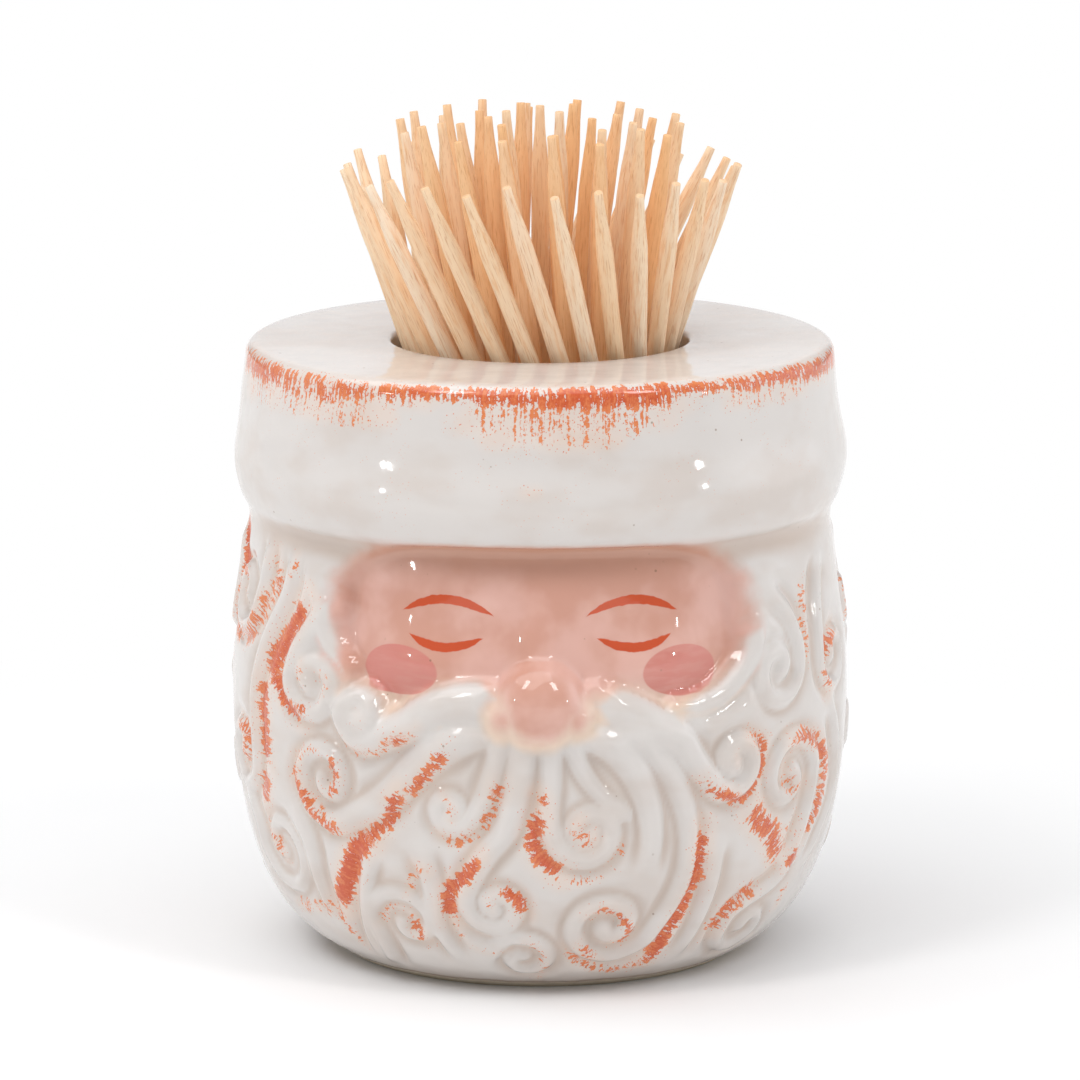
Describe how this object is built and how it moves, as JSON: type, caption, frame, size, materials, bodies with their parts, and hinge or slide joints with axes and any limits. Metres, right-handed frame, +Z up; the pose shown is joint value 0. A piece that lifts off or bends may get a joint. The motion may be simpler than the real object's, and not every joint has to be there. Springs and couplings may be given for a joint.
{
  "type": "toothpick holder",
  "caption": "Round glazed ceramic jar shaped as a bearded head in a fur cap, with a flat top whose well holds a fanned bunch of toothpicks.",
  "frame": {"origin": "centre of the foot's flat underside", "axes": "+Z up out of the well, -Y towards the side with the face"},
  "size_m": [0.0664, 0.0673, 0.0896],
  "materials": {
    "glazed_body": "glossy",
    "pick_wood": "matte"
  },
  "bodies": {
    "holder": {"holder_body": "glazed_body"},
    "core_picks": {"middle_pick_01": "pick_wood", "middle_pick_02": "pick_wood", "middle_pick_03": "pick_wood", "middle_pick_04": "pick_wood", "middle_pick_05": "pick_wood", "middle_pick_06": "pick_wood", "middle_pick_07": "pick_wood", "middle_pick_08": "pick_wood", "middle_pick_09": "pick_wood", "middle_pick_10": "pick_wood", "middle_pick_11": "pick_wood", "middle_pick_12": "pick_wood", "middle_pick_13": "pick_wood", "middle_pick_14": "pick_wood", "middle_pick_15": "pick_wood", "middle_pick_16": "pick_wood", "middle_pick_17": "pick_wood", "middle_pick_18": "pick_wood", "inner_pick_01": "pick_wood", "inner_pick_02": "pick_wood", "inner_pick_03": "pick_wood", "inner_pick_04": "pick_wood", "inner_pick_05": "pick_wood", "inner_pick_06": "pick_wood", "inner_pick_07": "pick_wood", "inner_pick_08": "pick_wood", "inner_pick_09": "pick_wood", "inner_pick_10": "pick_wood", "inner_pick_11": "pick_wood", "inner_pick_12": "pick_wood", "centre_picks": "pick_wood"},
    "outer_pick_01": {"outer_pick_01": "pick_wood"},
    "outer_pick_02": {"outer_pick_02": "pick_wood"},
    "outer_pick_03": {"outer_pick_03": "pick_wood"},
    "outer_pick_04": {"outer_pick_04": "pick_wood"},
    "outer_pick_05": {"outer_pick_05": "pick_wood"},
    "outer_pick_06": {"outer_pick_06": "pick_wood"},
    "outer_pick_07": {"outer_pick_07": "pick_wood"},
    "outer_pick_08": {"outer_pick_08": "pick_wood"},
    "outer_pick_09": {"outer_pick_09": "pick_wood"},
    "outer_pick_10": {"outer_pick_10": "pick_wood"},
    "outer_pick_11": {"outer_pick_11": "pick_wood"},
    "outer_pick_12": {"outer_pick_12": "pick_wood"},
    "outer_pick_13": {"outer_pick_13": "pick_wood"},
    "outer_pick_14": {"outer_pick_14": "pick_wood"},
    "outer_pick_15": {"outer_pick_15": "pick_wood"},
    "outer_pick_16": {"outer_pick_16": "pick_wood"},
    "outer_pick_17": {"outer_pick_17": "pick_wood"},
    "outer_pick_18": {"outer_pick_18": "pick_wood"},
    "outer_pick_19": {"outer_pick_19": "pick_wood"},
    "outer_pick_20": {"outer_pick_20": "pick_wood"},
    "outer_pick_21": {"outer_pick_21": "pick_wood"},
    "outer_pick_22": {"outer_pick_22": "pick_wood"},
    "outer_pick_23": {"outer_pick_23": "pick_wood"},
    "outer_pick_24": {"outer_pick_24": "pick_wood"},
    "outer_pick_25": {"outer_pick_25": "pick_wood"},
    "outer_pick_26": {"outer_pick_26": "pick_wood"},
    "outer_pick_27": {"outer_pick_27": "pick_wood"},
    "outer_pick_28": {"outer_pick_28": "pick_wood"}
  },
  "joints": [
    {"name": "core_lift", "type": "slide", "parent": "holder", "child": "core_picks", "axis": [0, 0, 1], "range_m": [0, 0.07]},
    {"name": "outer_pick_01_draw", "type": "slide", "parent": "holder", "child": "outer_pick_01", "axis": [0, -0.4216, 0.9068], "range_m": [0, 0.065]},
    {"name": "outer_pick_02_draw", "type": "slide", "parent": "holder", "child": "outer_pick_02", "axis": [0.0938, -0.4111, 0.9068], "range_m": [0, 0.065]},
    {"name": "outer_pick_03_draw", "type": "slide", "parent": "holder", "child": "outer_pick_03", "axis": [0.1829, -0.3799, 0.9068], "range_m": [0, 0.065]},
    {"name": "outer_pick_04_draw", "type": "slide", "parent": "holder", "child": "outer_pick_04", "axis": [0.2629, -0.3297, 0.9068], "range_m": [0, 0.065]},
    {"name": "outer_pick_05_draw", "type": "slide", "parent": "holder", "child": "outer_pick_05", "axis": [0.3297, -0.2629, 0.9068], "range_m": [0, 0.065]},
    {"name": "outer_pick_06_draw", "type": "slide", "parent": "holder", "child": "outer_pick_06", "axis": [0.3799, -0.1829, 0.9068], "range_m": [0, 0.065]},
    {"name": "outer_pick_07_draw", "type": "slide", "parent": "holder", "child": "outer_pick_07", "axis": [0.4111, -0.0938, 0.9068], "range_m": [0, 0.065]},
    {"name": "outer_pick_08_draw", "type": "slide", "parent": "holder", "child": "outer_pick_08", "axis": [0.4216, 0, 0.9068], "range_m": [0, 0.065]},
    {"name": "outer_pick_09_draw", "type": "slide", "parent": "holder", "child": "outer_pick_09", "axis": [0.4111, 0.0938, 0.9068], "range_m": [0, 0.065]},
    {"name": "outer_pick_10_draw", "type": "slide", "parent": "holder", "child": "outer_pick_10", "axis": [0.3799, 0.1829, 0.9068], "range_m": [0, 0.065]},
    {"name": "outer_pick_11_draw", "type": "slide", "parent": "holder", "child": "outer_pick_11", "axis": [0.3297, 0.2629, 0.9068], "range_m": [0, 0.065]},
    {"name": "outer_pick_12_draw", "type": "slide", "parent": "holder", "child": "outer_pick_12", "axis": [0.2629, 0.3297, 0.9068], "range_m": [0, 0.065]},
    {"name": "outer_pick_13_draw", "type": "slide", "parent": "holder", "child": "outer_pick_13", "axis": [0.1829, 0.3799, 0.9068], "range_m": [0, 0.065]},
    {"name": "outer_pick_14_draw", "type": "slide", "parent": "holder", "child": "outer_pick_14", "axis": [0.0938, 0.4111, 0.9068], "range_m": [0, 0.065]},
    {"name": "outer_pick_15_draw", "type": "slide", "parent": "holder", "child": "outer_pick_15", "axis": [0, 0.4216, 0.9068], "range_m": [0, 0.065]},
    {"name": "outer_pick_16_draw", "type": "slide", "parent": "holder", "child": "outer_pick_16", "axis": [-0.0938, 0.4111, 0.9068], "range_m": [0, 0.065]},
    {"name": "outer_pick_17_draw", "type": "slide", "parent": "holder", "child": "outer_pick_17", "axis": [-0.1829, 0.3799, 0.9068], "range_m": [0, 0.065]},
    {"name": "outer_pick_18_draw", "type": "slide", "parent": "holder", "child": "outer_pick_18", "axis": [-0.2629, 0.3297, 0.9068], "range_m": [0, 0.065]},
    {"name": "outer_pick_19_draw", "type": "slide", "parent": "holder", "child": "outer_pick_19", "axis": [-0.3297, 0.2629, 0.9068], "range_m": [0, 0.065]},
    {"name": "outer_pick_20_draw", "type": "slide", "parent": "holder", "child": "outer_pick_20", "axis": [-0.3799, 0.1829, 0.9068], "range_m": [0, 0.065]},
    {"name": "outer_pick_21_draw", "type": "slide", "parent": "holder", "child": "outer_pick_21", "axis": [-0.4111, 0.0938, 0.9068], "range_m": [0, 0.065]},
    {"name": "outer_pick_22_draw", "type": "slide", "parent": "holder", "child": "outer_pick_22", "axis": [-0.4216, 0, 0.9068], "range_m": [0, 0.065]},
    {"name": "outer_pick_23_draw", "type": "slide", "parent": "holder", "child": "outer_pick_23", "axis": [-0.4111, -0.0938, 0.9068], "range_m": [0, 0.065]},
    {"name": "outer_pick_24_draw", "type": "slide", "parent": "holder", "child": "outer_pick_24", "axis": [-0.3799, -0.1829, 0.9068], "range_m": [0, 0.065]},
    {"name": "outer_pick_25_draw", "type": "slide", "parent": "holder", "child": "outer_pick_25", "axis": [-0.3297, -0.2629, 0.9068], "range_m": [0, 0.065]},
    {"name": "outer_pick_26_draw", "type": "slide", "parent": "holder", "child": "outer_pick_26", "axis": [-0.2629, -0.3297, 0.9068], "range_m": [0, 0.065]},
    {"name": "outer_pick_27_draw", "type": "slide", "parent": "holder", "child": "outer_pick_27", "axis": [-0.1829, -0.3799, 0.9068], "range_m": [0, 0.065]},
    {"name": "outer_pick_28_draw", "type": "slide", "parent": "holder", "child": "outer_pick_28", "axis": [-0.0938, -0.4111, 0.9068], "range_m": [0, 0.065]}
  ]
}
